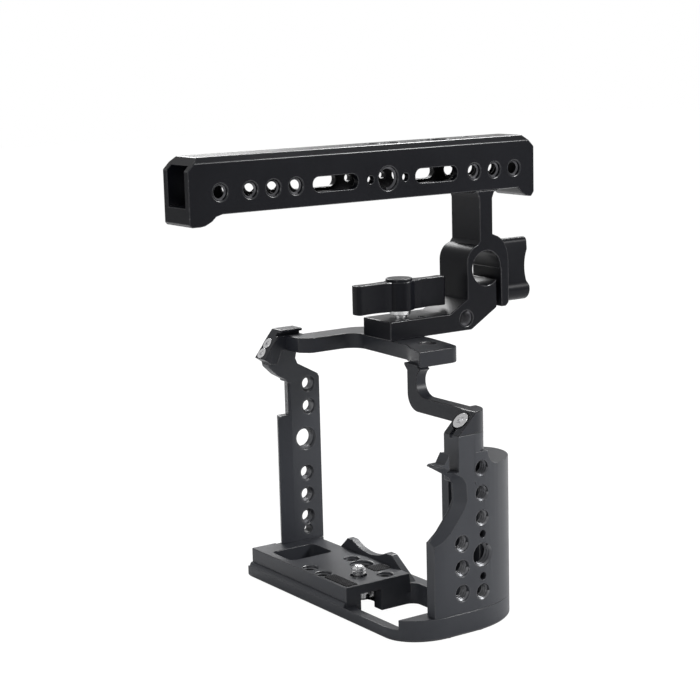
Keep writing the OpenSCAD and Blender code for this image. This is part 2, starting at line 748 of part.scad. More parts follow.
module grip_holes() {
    x = x_right - grip_wall;
    mid = grip_hole_z + 15;
    for (z = [grip_hole_z, mid + 15, mid + 15 + hole_pitch, mid + 15 + 2 * hole_pitch])
        tapped_x(x, grip_hole_y, z, quarter_d, grip_wall);
    tapped_x(x, grip_hole_y, mid, three_eighths_d, grip_wall);
    for (side = [-1, 1]) along_x(x + 1, grip_hole_y, mid + side * locate_pitch, locate_d, grip_wall);
    for (i = [0:2]) tapped_x(x, grip_hole_y - column_gap, grip_hole_z + 1.5 + i * hole_pitch, quarter_d, grip_wall);
}

module grip_top_screw() {
    color(silver) at_grip_screw() translate([0, 0, 0.3]) socket_screw(m4_d, m4_head, 2.7, 10);
}

module left_base_screws() {
    color(silver) for (y = left_screw_y()) translate([left_screw_x, y, z_bottom + head_sink]) mirror([0, 0, 1])
        socket_screw(m3_d, m3_head, m3_head_h, base_h + 2);
}

module grip_base_screws() {
    color(silver) for (s = grip_screws()) translate([s[0], s[1], z_bottom + head_sink]) mirror([0, 0, 1])
        socket_screw(m3_d, m3_head, m3_head_h, bar_h);
}

// side view of the bar with its finger stops: y, z
module bar_side() {
    low = z_bar - stop_h;
    polygon([
        [bar_back, z_bar_top - bar_end_cut], [bar_back + bar_end_cut, z_bar_top],
        [bar_front - bar_end_cut, z_bar_top], [bar_front, z_bar_top - bar_end_cut],
        [bar_front, low + 2], [bar_front - 1.5, low], [bar_front - 4.5, low + 0.4],
        [bar_front - 7, low + 2], [bar_front - stop_run - 1, z_bar],
        [bar_back + stop_len + stop_run, z_bar], [bar_back + stop_len + stop_run - 3, z_bar - 0.8],
        [bar_back + stop_len + 3, z_bar - 2.6], [bar_back + stop_len, low + 0.3], [bar_back + stop_len - 2, low],
        [bar_back + 1, low], [bar_back, low + 1]]);
}

// end view of the bar: x, z
module bar_end() {
    half = handle_w / 2;
    polygon([
        [foot_x - half, z_bar - stop_h - 1], [foot_x + half, z_bar - stop_h - 1],
        [foot_x + half, z_bar_top - bar_chamfer], [foot_x + half - bar_chamfer, z_bar_top],
        [foot_x - half + bar_chamfer, z_bar_top], [foot_x - half, z_bar_top - bar_chamfer]]);
}

accessory_y = foot_y - 11.5;          // the bar's large side thread
back_slot_y = accessory_y - 15 - slot_len;
front_slot_y = accessory_y + 14;
top_accessory_y = accessory_y + 33;

module bar_through(y, d) {
    x = foot_x - handle_w / 2;
    tapped_x(x, y, bar_mid_z, d, handle_wall);
    tapped_x(x + handle_w - handle_wall, y, bar_mid_z, d, handle_wall);
}

module bar_slot(y) {
    x = foot_x - handle_w / 2;
    slab_x(x - 1, handle_w + 2) round_rect(y, bar_mid_z - slot_h / 2, y + slot_len, bar_mid_z + slot_h / 2,
                                           slot_h / 2 - eps);
}

module handle_bar() {
    x = foot_x - handle_w / 2;
    inner = handle_w - 2 * handle_wall;
    color(black) difference() {
        intersection() {
            slab_x(x, handle_w) bar_side();
            slab_y(bar_back - 1, bar_len + 2) bar_end();
        }
        // hollow, open at the back end
        translate([foot_x - inner / 2, bar_back - 1, z_bar + handle_wall])
            cube([inner, bar_len - 5, handle_h - 2 * handle_wall]);
        bar_slot(back_slot_y);
        bar_slot(front_slot_y);
        bar_through(accessory_y, three_eighths_d);
        for (side = [-1, 1]) along_x(x - 1, accessory_y + side * (locate_pitch + 0.2), bar_mid_z,
                                     locate_d, handle_w + 2);
        for (i = [0:2]) bar_through(back_slot_y - 8.1 - i * bar_pitch, quarter_d);
        bar_through(back_slot_y - 8.1 - 2 * bar_pitch - 13.6, quarter_d);
        for (i = [0:2]) bar_through(front_slot_y + slot_len + 9 + i * bar_pitch * 1.03, quarter_d);
        // threads in the top
        translate([foot_x, top_accessory_y, z_bar_top - handle_wall]) tapped(three_eighths_d, handle_wall);
        for (side = [-1, 1]) translate([foot_x, top_accessory_y + side * locate_pitch, z_bar_top - handle_wall - 1])
            cylinder(d = locate_d, h = handle_wall + 2);
        for (y = [top_accessory_y - 24, top_accessory_y - 24 - hole_pitch])
            translate([foot_x, y, z_bar_top - handle_wall]) tapped(quarter_d, handle_wall);
        // neck screws, with holes above them for the key
        for (side = [-1, 1]) translate([foot_x + side * neck_screw_x, neck_y + neck_t / 2, z_bar - 1]) {
            cylinder(d = m3_d, h = handle_wall + 2);
            translate([0, 0, handle_h - handle_wall]) cylinder(d = 4, h = handle_wall + 2);
        }
    }
}

neck_screw_x = handle_w / 2 - handle_wall - m3_head / 2 - 0.3;

// side view of neck, clamp and foot: y, z
module neck_outline() {
    flare = 3.5;
    low = z_top;
    polygon(concat(
        [[foot_y - foot_back, low], [foot_tip, low], [slit_y, jaw_low], [jaw_front - 1.5, jaw_low],
         [jaw_front, jaw_low + 1.5], [jaw_front, rod_z + 1.5]],
        arc(jaw_front - 8.5, rod_z + 2, 8.5, 12, 0, 80, 8),
        [[neck_y + neck_t, rod_z + 14.5], [neck_y + neck_t, z_bar - flare], [neck_y + neck_t + flare * 0.3, z_bar - 1],
         [neck_y + neck_t + flare, z_bar], [neck_y - flare, z_bar], [neck_y - flare * 0.3, z_bar - 1],
         [neck_y, z_bar - flare], [neck_y, rod_z + 12]],
        arc(clamp_back + 7, rod_z + 3, 7, 7.5, 100, 180, 8),
        [[clamp_back, foot_top + 5.6], [clamp_back - 9.5, foot_top], [foot_y - foot_back, foot_top]]));
}

module handle_neck() {
    x = foot_x - handle_w / 2;
    color(black) difference() {
        slab_x(x, handle_w) neck_outline();
        // rod bore with its slit
        along_x(x - 1, rod_y, rod_z, rod_d + rod_gap, handle_w + 2);
        translate([x - 1, slit_y, jaw_low - 1]) cube([handle_w + 2, slit_w, rod_z - jaw_low]);
        // clamp screw: clearance in the jaw, thread behind the slit
        along_y(foot_x, jaw_back - 1, clamp_z, clamp_screw_d + 0.3, jaw_t + 2);
        along_y(foot_x, clamp_back + 2, clamp_z, clamp_screw_d, slit_y - clamp_back);
        // foot screw, locating pins and the accessory thread in the side
        translate([foot_x, foot_y, z_top - 1]) cylinder(d = quarter_d, h = foot_h + 2);
        for (side = [-1, 1]) translate([foot_x + side * pin_x, pin_y, z_top - 1])
            cylinder(d = locate_d, h = 5);
        translate([x + handle_w, rod_y - 11.3, z_top + 5.2]) rotate([0, -90, 0]) tapped(quarter_d, 9, false);
        // neck screws
        for (side = [-1, 1]) translate([foot_x + side * neck_screw_x, neck_y + neck_t / 2, z_bar - 12])
            cylinder(d = m3_d, h = 14);
        // small hole in the foot's top beside the knob
        translate([foot_x + pin_x, foot_y + 7, foot_top - 3]) cylinder(d = locate_d - 0.3, h = 4);
    }
}

module neck_screws() {
    color(silver) for (side = [-1, 1])
        translate([foot_x + side * neck_screw_x, neck_y + neck_t / 2, z_bar + handle_wall + m3_head_h + 0.03])
            socket_screw(m3_d, m3_head, m3_head_h, handle_wall + 10);
}

module foot_pins() {
    color(silver) for (side = [-1, 1]) translate([foot_x + side * pin_x, pin_y, z_top - 3.5])
        cylinder(d = locate_d - 0.1, h = 7.4);
}

// plan of the foot knob, hub at the origin and wings along Y
module foot_knob_plan() {
    half = foot_knob_len / 2;
    t = foot_knob_t / 2;
    circle(d = foot_hub_d);
    round_rect(-t, -half, t, half, t * 0.55);
}

module foot_knob() {
    color(black) translate([foot_x, foot_y, knob_z]) difference() {
        union() {
            linear_extrude(foot_knob_h) foot_knob_plan();
            translate([0, 0, foot_knob_h - eps]) cylinder(d = foot_hub_d - 1.5, h = 1.2);
        }
        translate([0, 0, -1]) cylinder(d = quarter_d, h = foot_knob_h - 2);
        // hollows on both faces of each wing
        for (side = [-1, 1]) for (end = [-1, 1])
            translate([side * (foot_knob_t / 2 + knob_hollow_r - knob_hollow_depth), end * knob_hollow_y, -1])
                cylinder(r = knob_hollow_r, h = foot_knob_h + 2, $fn = 96);
    }
}

module foot_screw() {
    tip = z_arm + 0.5;
    color(silver) translate([foot_x, foot_y, 0]) {
        translate([0, 0, tip]) cylinder(d = quarter_d - 2 * stud_gap, h = knob_z + foot_knob_h - 3 - tip);
    }
}

module foot_washer() {
    color(silver) translate([foot_x, foot_y, foot_top + 1.2]) difference() {
        cylinder(d = 9.4, h = knob_lift - 1.25);
        translate([0, 0, -1]) cylinder(d = quarter_d, h = knob_lift + 2);
    }
}

module clamp_lever() {
    color(black) translate([foot_x, lever_y, clamp_z]) difference() {
        union() {
            rotate([-90, 0, 0]) cylinder(d = lever_hub_d, h = lever_len);
            slab_y(0, lever_len + 0.6) polygon(concat(
                arc(0, lever_reach - lever_t / 2, lever_t / 2, lever_t / 2, 0, 180, 8),
                [[-lever_hub_d / 2 + 1.2, 0], [lever_hub_d / 2 - 1.2, 0]]));
        }
        rotate([-90, 0, 0]) translate([0, 0, -1]) cylinder(d = clamp_screw_d, h = lever_len);
        // finger hollow at the front of the wing
        translate([-lever_hub_d, lever_len + lever_hollow_r - 1.4, lever_reach * 0.38]) rotate([0, 90, 0])
            cylinder(r = lever_hollow_r, h = 2 * lever_hub_d);
    }
}

module clamp_screw() {
    start = clamp_back + 3;
    color(silver) along_y(foot_x, start, clamp_z, clamp_screw_d - 2 * stud_gap, lever_y + lever_len - 2 - start);
}

module clamp_washer() {
    color(silver) translate([foot_x, jaw_front + 0.05, clamp_z]) rotate([-90, 0, 0]) difference() {
        cylinder(d = lever_hub_d - 1, h = lever_gap - 0.1);
        translate([0, 0, -1]) cylinder(d = clamp_screw_d, h = lever_gap + 2);
    }
}

base_plate();
left_side_panel();
top_frame();
grip_panel();
camera_screw();
camera_screw_clip();
rear_friction_pad();
front_friction_pad();
left_base_screws();
grip_base_screws();
left_top_screws();
grip_top_screw();
handle_bar();
handle_neck();
neck_screws();
foot_pins();
foot_knob();
foot_screw();
foot_washer();
clamp_lever();
clamp_screw();
clamp_washer();
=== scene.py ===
# %% [markdown]
# # A camera cage with its top handle
# A camera cage is a kit of machined aluminium parts that screw together round a camera body.
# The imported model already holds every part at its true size, so this lesson gives them what a
# solid modeller leaves out: broken edges that catch the light, cut threads in the tapped holes,
# a knurled camera screw, hatched rubber pads, and the finishes. Blender works in metres, in the
# model's own frame. Most sizes here are written in millimetres and multiplied by MM.

# %% Load the frame
import json
import math

import bmesh
import bpy
from mathutils import Matrix, Vector

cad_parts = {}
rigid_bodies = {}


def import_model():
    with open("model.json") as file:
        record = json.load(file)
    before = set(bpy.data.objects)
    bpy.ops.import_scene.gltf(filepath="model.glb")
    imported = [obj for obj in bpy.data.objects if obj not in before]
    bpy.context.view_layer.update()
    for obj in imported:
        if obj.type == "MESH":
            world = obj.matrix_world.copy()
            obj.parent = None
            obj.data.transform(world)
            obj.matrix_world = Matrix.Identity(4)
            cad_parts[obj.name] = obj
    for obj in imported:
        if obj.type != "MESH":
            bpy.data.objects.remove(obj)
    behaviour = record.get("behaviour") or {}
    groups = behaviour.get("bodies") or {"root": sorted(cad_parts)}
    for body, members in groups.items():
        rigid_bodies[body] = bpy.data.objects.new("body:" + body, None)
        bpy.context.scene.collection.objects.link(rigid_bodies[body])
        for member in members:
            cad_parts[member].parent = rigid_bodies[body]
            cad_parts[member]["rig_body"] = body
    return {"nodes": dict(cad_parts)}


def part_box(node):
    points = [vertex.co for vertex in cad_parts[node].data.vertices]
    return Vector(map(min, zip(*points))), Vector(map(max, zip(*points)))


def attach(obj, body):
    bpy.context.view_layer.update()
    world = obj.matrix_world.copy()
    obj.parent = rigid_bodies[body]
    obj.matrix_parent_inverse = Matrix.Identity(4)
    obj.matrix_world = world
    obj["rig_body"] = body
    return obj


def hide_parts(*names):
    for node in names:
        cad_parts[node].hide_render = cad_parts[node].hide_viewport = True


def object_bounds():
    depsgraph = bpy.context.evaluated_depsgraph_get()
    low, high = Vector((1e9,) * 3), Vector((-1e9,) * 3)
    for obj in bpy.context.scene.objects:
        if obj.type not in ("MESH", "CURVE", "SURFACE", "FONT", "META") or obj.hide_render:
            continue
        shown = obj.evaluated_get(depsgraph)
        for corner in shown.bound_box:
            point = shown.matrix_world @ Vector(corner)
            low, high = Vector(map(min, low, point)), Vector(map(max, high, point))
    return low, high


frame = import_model()
cad_low, cad_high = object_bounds()
MM = 0.001


# %% [markdown]
# Blender's operators act on whatever is selected. The loader leaves its parts selected, so each
# step first deselects everything and then makes one object the active one. What edit mode does
# is passed in as a list of steps, so that no step can forget to leave it.

# %% Selecting and edit mode
def deselect():
    bpy.ops.object.select_all(action="DESELECT")


def activate(piece):
    deselect()
    piece.select_set(True)
    bpy.context.view_layer.objects.active = piece


def on_picked(piece, *steps):
    """Runs steps in edit mode on what is picked on piece."""
    activate(piece)
    bpy.ops.object.mode_set(mode="EDIT")
    for step in steps:
        step()
    bpy.ops.object.mode_set(mode="OBJECT")


def on_all(piece, *steps):
    """Runs steps in edit mode with all of piece selected at first."""
    on_picked(piece, lambda: bpy.ops.mesh.select_all(action="SELECT"), *steps)


def pick(piece, kind, test):
    """Selects the faces, edges or vertices of piece that pass a test, and counts them."""
    activate(piece)
    bpy.ops.object.mode_set(mode="EDIT")
    modes = {"faces": "FACE", "edges": "EDGE", "verts": "VERT"}
    bpy.ops.mesh.select_mode(type=modes[kind])
    bpy.ops.mesh.select_all(action="DESELECT")
    shape = bmesh.from_edit_mesh(piece.data)
    count = 0
    for item in getattr(shape, kind):
        if test(item):
            item.select_set(True)
            count += 1
    bmesh.update_edit_mesh(piece.data)
    bpy.ops.object.mode_set(mode="OBJECT")
    return count


print("edit mode helpers are ready")


# %% [markdown]
# A finished piece has its modifiers applied and stands at the origin with no turn or scale of
# its own. It gets its materials and the body of the mechanism that it rides on.

# %% Finishing a piece
SHARP_DEGREES = 32           # an edge that turns by more than this stays sharp
ROUND_DEGREES = 40           # the same for pieces made of coarse facets
SEAM = 1e-7                  # vertices closer than this are one, in metres


def apply(piece, kind, **settings):
    """Adds a modifier and applies it."""
    activate(piece)
    modifier = piece.modifiers.new(kind.title(), kind)
    for key, value in settings.items():
        setattr(modifier, key, value)
    bpy.ops.object.modifier_apply(modifier=modifier.name)


def settle(piece):
    """Puts the object at the origin, with its place in its mesh."""
    activate(piece)
    bpy.ops.object.transform_apply(location=True, rotation=True, scale=True)


def smooth(piece, degrees=SHARP_DEGREES):
    activate(piece)
    bpy.ops.object.shade_smooth_by_angle(angle=math.radians(degrees))


def face_outward():
    bpy.ops.mesh.select_all(action="SELECT")
    bpy.ops.mesh.normals_make_consistent(inside=False)


def close_ends():
    """Fills the picked open rims and makes one closed shell of the mesh."""
    bpy.ops.mesh.fill_holes(sides=0)
    bpy.ops.mesh.select_all(action="SELECT")
    bpy.ops.mesh.remove_doubles(threshold=SEAM)
    bpy.ops.mesh.normals_make_consistent(inside=False)


def set_materials(piece, *materials):
    piece.data.materials.clear()
    for material in materials:
        piece.data.materials.append(material)


def finish_piece(piece, body, slot, *materials):
    set_materials(piece, *materials)
    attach(piece, body)


print("edges stay sharp over", SHARP_DEGREES, "degrees")


# %% [markdown]
# Shader maths reads best as plain expressions. This class wraps a socket, so that `1 - mask * 2`
# adds the Math nodes by itself, and one method adds any other node.

# %% Sockets as values
class Value:
    def __init__(self, shader, socket):
        self.shader, self.socket = shader, socket

    def _math(self, operation, other, swapped=False):
        first, second = (other, self) if swapped else (self, other)
        return self.shader.node("ShaderNodeMath", {"operation": operation}, {0: first, 1: second})

    def __add__(self, other):
        return self._math("ADD", other)

    def __radd__(self, other):
        return self._math("ADD", other, True)

    def __sub__(self, other):
        return self._math("SUBTRACT", other)

    def __rsub__(self, other):
        return self._math("SUBTRACT", other, True)

    def __mul__(self, other):
        return self._math("MULTIPLY", other)

    def __rmul__(self, other):
        return self._math("MULTIPLY", other, True)


class Shader:
    def __init__(self, block):
        block.use_nodes = True
        self.block, self.tree = block, block.node_tree
        self.tree.nodes.clear()

    def node(self, kind, settings=None, sockets=None, out=0):
        """A node of a type: its settings are made first, then its sockets' values or links."""
        made = self.tree.nodes.new(kind)
        for key, value in (settings or {}).items():
            if key == "stops":
                ramp = made.color_ramp
                while len(ramp.elements) < len(value):
                    ramp.elements.new(0.5)
                for stop, (place, level) in zip(ramp.elements, value):
                    stop.position, stop.color = place, (level, level, level, 1)
            else:
                setattr(made, key, value)
        for key, value in (sockets or {}).items():
            if isinstance(value, Value):
                self.tree.links.new(value.socket, made.inputs[key])
            else:
                made.inputs[key].default_value = value
        return Value(self, made.outputs[out])

    def noise(self, place, scale, detail, stretch=None):
        if stretch:
            place = self.node("ShaderNodeMapping", sockets={"Vector": place, "Scale": stretch})
        return self.node("ShaderNodeTexNoise",
                         sockets={"Vector": place, "Scale": scale, "Detail": detail})

    def ramp(self, value, *stops):
        return self.node("ShaderNodeValToRGB", {"stops": stops}, {"Fac": value})

    def blend(self, factor, first, second):
        return self.node("ShaderNodeMix", {"data_type": "RGBA"},
                         {0: factor, 6: (*first, 1), 7: (*second, 1)}, 2)

    def bump(self, height, strength, distance):
        return self.node("ShaderNodeBump", sockets={"Strength": strength, "Distance": distance,
                                                    "Height": height})


def surface(name, build, **constants):
    """A material whose varying sockets come from build(shader, place)."""
    shader = Shader(bpy.data.materials.new(name))
    place = shader.node("ShaderNodeTexCoord", out="Object")
    sockets = dict(constants)
    sockets.update(build(shader, place))
    principled = shader.node("ShaderNodeBsdfPrincipled", sockets=sockets)
    output = shader.tree.nodes.new("ShaderNodeOutputMaterial")
    shader.tree.links.new(principled.socket, output.inputs["Surface"])
    return shader.block


print("shader helpers are ready")


# %% [markdown]
# The cage and its handle are bead blasted and anodised. Blasting leaves a fine even grain, under
# which the cutter's faint lines still show, and the dye takes a little more here than there.
# The grain and the lines are bump, and with soft clouds they also change the roughness. The
# clouds and a little of the grain change the colour. The upper rail and the handle are nearly
# black and the cage's panels a dark grey, so each has its own copy of the finish.

# %% Anodised finishes
LINES_ACROSS_Y = (40, 900, 40)     # noise packed tightly along one axis reads as lines
LINES_ACROSS_Z = (40, 40, 900)     # that run across it
DARK_CLOUD, LIGHT_CLOUD = 0.78, 1.28
GRAIN_SCALE, GRAIN_DEPTH = 5200, 0.00003
CLOUD_SCALE, TOOL_SCALE = 38, 3


def anodised(name, colour, roughness, specular, lines=LINES_ACROSS_Y):
    def build(s, place):
        grain = s.noise(place, GRAIN_SCALE, 2)
        clouds = s.noise(place, CLOUD_SCALE, 4)
        tool = s.noise(place, TOOL_SCALE, 2, lines)
        darker = tuple(c * DARK_CLOUD for c in colour)
        lighter = tuple(c * LIGHT_CLOUD for c in colour)
        bump = s.bump(grain + tool * 0.35, 0.22, GRAIN_DEPTH)
        return {"Base Color": s.blend(clouds * 0.8 + grain * 0.2, darker, lighter),
                "Roughness": roughness - 0.10 + clouds * 0.12 + tool * 0.06 + grain * 0.03,
                "Normal": bump}
    return surface(name, build, Metallic=0.0, **{"Specular IOR Level": specular})


black_body = anodised("black_anodised", (0.0045, 0.0049, 0.0072), 0.33, 0.14)
rail_body = anodised("rail_anodised", (0.019, 0.0205, 0.0255), 0.36, 0.24)
grey_body = anodised("grey_anodised", (0.037, 0.0395, 0.0465), 0.40, 0.30, LINES_ACROSS_Z)
print("anodised:", black_body.name, rail_body.name, grey_body.name)


# %% [markdown]
# Where the blasted skin meets an edge it is thinner, so edges get a finish of their own: nearly
# as dark, but smoother, with a few specks where the bare metal comes through. The specks are
# fine noise behind a steep ramp, and a second, larger noise keeps them to worn places.

# %% Finish of the broken edges
def broken_edge(name, colour, bare, roughness):
    def build(s, place):
        specks = s.ramp(s.noise(place, 1100, 4), (0.62, 0.0), (0.72, 1.0))
        worn = s.ramp(s.noise(place, 45, 3), (0.45, 0.0), (0.70, 1.0))
        bump = s.bump(s.noise(place, 3000, 2), 0.1, 0.00001)
        return {"Base Color": s.blend(specks * worn, colour, bare),
                "Roughness": roughness + worn * 0.08 - specks * 0.05,
                "Metallic": specks * worn * 0.8,
                "Normal": bump}
    return surface(name, build, **{"Specular IOR Level": 0.5})


black_edge = broken_edge("black_edge", (0.010, 0.0105, 0.014), (0.30, 0.30, 0.31), 0.22)
grey_edge = broken_edge("grey_edge", (0.040, 0.042, 0.048), (0.36, 0.36, 0.37), 0.28)
print("edges:", black_edge.name, grey_edge.name)


# %% [markdown]
# Three more finishes: plated steel, a little cloudy, for the screws; freshly cut threads, which
# are dark but shine on their flanks; and rubber with fine pores and some dust.

# %% Steel, threads and rubber
def plated(name, colour, roughness):
    def build(s, place):
        grain = s.noise(place, 1800, 2)
        clouds = s.noise(place, 150, 3)
        bump = s.bump(grain, 0.08, 0.00001)
        return {"Base Color": s.blend(clouds, tuple(c * 0.85 for c in colour), colour),
                "Roughness": roughness - 0.05 + clouds * 0.1,
                "Normal": bump}
    return surface(name, build, Metallic=1.0)


def cut_thread(name, colour, bare):
    def build(s, place):
        wear = s.ramp(s.noise(place, 160, 3), (0.40, 0.0), (0.70, 1.0))
        return {"Base Color": s.blend(wear, colour, bare),
                "Roughness": 0.30 + wear * 0.08}
    return surface(name, build, Metallic=0.75)


def rubber(name, colour):
    def build(s, place):
        pores = s.noise(place, 2600, 3)
        dust = s.ramp(s.noise(place, 260, 4), (0.48, 0.0), (0.75, 1.0))
        bump = s.bump(pores, 0.4, 0.00004)
        return {"Base Color": s.blend(dust * 0.6, colour, tuple(c * 2.6 for c in colour)),
                "Roughness": 0.72 + pores * 0.14,
                "Normal": bump}
    return surface(name, build, **{"Specular IOR Level": 0.35})


steel = plated("plated_steel", (0.86, 0.86, 0.87), 0.25)
black_thread = cut_thread("black_thread", (0.07, 0.07, 0.077), (0.18, 0.18, 0.19))
grey_thread = cut_thread("grey_thread", (0.09, 0.092, 0.10), (0.20, 0.202, 0.21))
pad_rubber = rubber("ribbed_rubber", (0.020, 0.020, 0.022))
print("materials:", [m.name for m in bpy.data.materials])


# %% [markdown]
# No machinist leaves an edge sharp: it is broken by a small chamfer, and that chamfer is what
# catches the lamps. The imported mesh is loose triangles, so a copy of it is merged, its flat
# faces are joined and cut again into well-shaped triangles, because slivers would make a bevel
# fold over itself. After the bevel three repairs follow: corners that left the part's own box
# are set back, normals that the bevel bent too far are straightened, and the small chamfers at
# the holes, which were cut last, get the edge finish too.

# %% Repairs after a bevel
BODY_FINISH, EDGE_FINISH = 0, 1              # places in a piece's list of materials
LEAST_AGREEMENT = 0.85                       # between a corner's normal and its face's
HALF_TURNED = math.cos(math.radians(45))
CHAMFER_SLACK = 0.02
LARGEST_RIM_FACE = 0.5 * MM ** 2


def keep_inside(piece, node):
    low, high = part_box(node)
    moved = 0
    for vertex in piece.data.vertices:
        held = Vector(min(max(c, a), b) for c, a, b in zip(vertex.co, low, high))
        moved += (held - vertex.co).length > 1e-6
        vertex.co = held
    return moved


def steady_normals(piece):
    shape = piece.data
    steady = [corner.vector.copy() for corner in shape.corner_normals]
    mended = 0
    for polygon in shape.polygons:
        for corner in polygon.loop_indices:
            if steady[corner].dot(polygon.normal) < LEAST_AGREEMENT:
                steady[corner] = polygon.normal.copy()
                mended += 1
    shape.normals_split_custom_set(steady)
    return mended


def polish_rims(piece):
    for polygon in piece.data.polygons:
        slanted = any(abs(abs(n) - HALF_TURNED) < CHAMFER_SLACK for n in polygon.normal)
        if slanted and polygon.area < LARGEST_RIM_FACE:
            polygon.material_index = EDGE_FINISH


print("rim faces are smaller than", LARGEST_RIM_FACE / MM ** 2, "mm2")


# %% [markdown]
# The Bevel modifier breaks every outward edge that turns by more than the sharp angle. Those
# edges get a bevel weight first, because inward corners keep the cutter's own shape. The copy
# stands for the part, which stays underneath for the simulation.

# %% Parts with broken edges
SHARP = math.radians(SHARP_DEGREES)
MERGE = 2e-6                                 # metres, under the mesh's smallest detail
FLAT = math.radians(0.5)                     # faces that turn by less are one flat face


def turns_outward(edge):
    return len(edge.link_faces) == 2 and edge.is_convex and edge.calc_face_angle(0) > SHARP


def machined(node, width, finish, edge_finish, slot, before_bevel=None):
    """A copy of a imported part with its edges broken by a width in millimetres."""
    piece = bpy.data.objects.new(node + "_finished", frame["nodes"][node].data.copy())
    bpy.context.scene.collection.objects.link(piece)
    on_all(piece, bpy.ops.mesh.customdata_custom_splitnormals_clear,
           lambda: bpy.ops.mesh.remove_doubles(threshold=MERGE),
           lambda: bpy.ops.mesh.dissolve_limited(angle_limit=FLAT),
           lambda: bpy.ops.mesh.quads_convert_to_tris(quad_method="BEAUTY",
                                                      ngon_method="BEAUTY"),
           lambda: bpy.ops.mesh.beautify_fill(angle_limit=FLAT))
    set_materials(piece, finish, edge_finish)
    for polygon in piece.data.polygons:
        polygon.material_index = BODY_FINISH
    if before_bevel:
        before_bevel(piece)
    smooth(piece)
    broken = pick(piece, "edges", turns_outward)
    on_picked(piece, lambda: bpy.ops.transform.edge_bevelweight(value=1))
    apply(piece, "BEVEL", width=width * MM, segments=2, limit_method="WEIGHT", loop_slide=False,
          use_clamp_overlap=False, material=EDGE_FINISH, harden_normals=True)
    moved = keep_inside(piece, node)
    mended = steady_normals(piece)
    polish_rims(piece)
    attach(piece, frame["nodes"][node]["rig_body"])
    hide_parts(node)
    print(f"{node}: {broken} edges broken by {width} mm, {len(piece.data.polygons)} faces,",
          f"{moved} corners set back, {mended} normals mended")


# %% [markdown]
# The lower outside edge of the base is the cage's foot and has a wider chamfer than the rest.
# Its rim is found by walking from the back left corner along all edges on the bottom that turn,
# so the rims of the holes in the bottom, which the walk can't reach, keep their narrow ones.

# %% Wide chamfer under the base
BASE_BOTTOM = -13.0
BACK_LEFT = (-62.5, -16.0)
ON_BOTTOM, AT_CORNER = 2e-5, 5e-5            # how near counts as there, in metres
RIM_TURN = math.radians(60)
RIM_WIDTH = 0.9


def bevel_bottom_rim(piece):
    activate(piece)
    bpy.ops.object.mode_set(mode="EDIT")
    bpy.ops.mesh.select_mode(type="EDGE")
    bpy.ops.mesh.select_all(action="DESELECT")
    shape = bmesh.from_edit_mesh(piece.data)

    def at_bottom(vertex):
        return abs(vertex.co.z - BASE_BOTTOM * MM) < ON_BOTTOM

    def on_rim(edge):
        return (all(at_bottom(v) for v in edge.verts) and len(edge.link_faces) == 2
                and edge.calc_face_angle(0) > RIM_TURN)

    corner = Vector(BACK_LEFT) * MM
    start = [v for v in shape.verts if at_bottom(v) and (v.co.xy - corner).length < AT_CORNER]
    seen, queue = set(start), list(start)
    while queue:
        vertex = queue.pop()
        for edge in vertex.link_edges:
            if on_rim(edge):
                edge.select_set(True)
                other = edge.other_vert(vertex)
                if other not in seen:
                    seen.add(other)
                    queue.append(other)
    bmesh.update_edit_mesh(piece.data)
    bpy.ops.mesh.bevel(offset=RIM_WIDTH * MM, segments=1, affect="EDGES", clamp_overlap=False,
                       loop_slide=False)
    bpy.ops.object.mode_set(mode="OBJECT")
    print("rim of the base:", len(seen), "points")


# %% [markdown]
# Now every part is finished. The handle's heavy pieces have the widest edges, the thin-walled
# grip the narrowest of the large parts, and small steel pieces a touch of a file. What hides
# inside other parts is broken only as much as it takes to be free of burrs.

# %% All machined parts
PANEL = (grey_body, grey_edge, "anodised_grey")
RAIL = (rail_body, black_edge, "anodised_black")
HANDLE = (black_body, black_edge, "anodised_black")
FASTENER = (steel, steel, "steel")

machined("base_plate", 0.3, *PANEL, bevel_bottom_rim)
machined("left_side_panel", 0.35, *PANEL)
machined("grip_panel", 0.25, *PANEL)
machined("top_frame", 0.35, *RAIL)
for part in ("handle_bar", "handle_neck", "foot_knob", "clamp_lever"):
    machined(part, 0.4, *HANDLE)
for part in ("left_base_screws", "grip_base_screws", "left_top_screws", "grip_top_screw",
             "neck_screws", "foot_washer", "clamp_washer"):
    machined(part, 0.15, *FASTENER)
for part in ("camera_screw_clip", "foot_pins", "foot_screw", "clamp_screw"):
    machined(part, 0.05, *FASTENER)


# %% [markdown]
# A tapped hole shows its thread as a row of bright arcs. Each thread here is one ridge with a
# triangular section, blunt at its crest, wound up by the Screw modifier and closed at its ends.
# Its foot is sunk a little into the wall, so that no light passes behind it.

# %% Winding a thread
QUARTER = {"radius": 3.175, "pitch": 1.27, "depth": 0.66}
THREE_EIGHTHS = {"radius": 4.7625, "pitch": 1.5875, "depth": 0.80}
SEGMENTS, FEWEST_SEGMENTS = 40, 6            # steps round one turn
SINK = 0.04                                  # millimetres into the wall
CREST_FROM, CREST_TO = 0.42, 0.58            # shares of the pitch
FOOT_TO = 0.96
SPECK = 0.001                                # a start size whose points are all moved


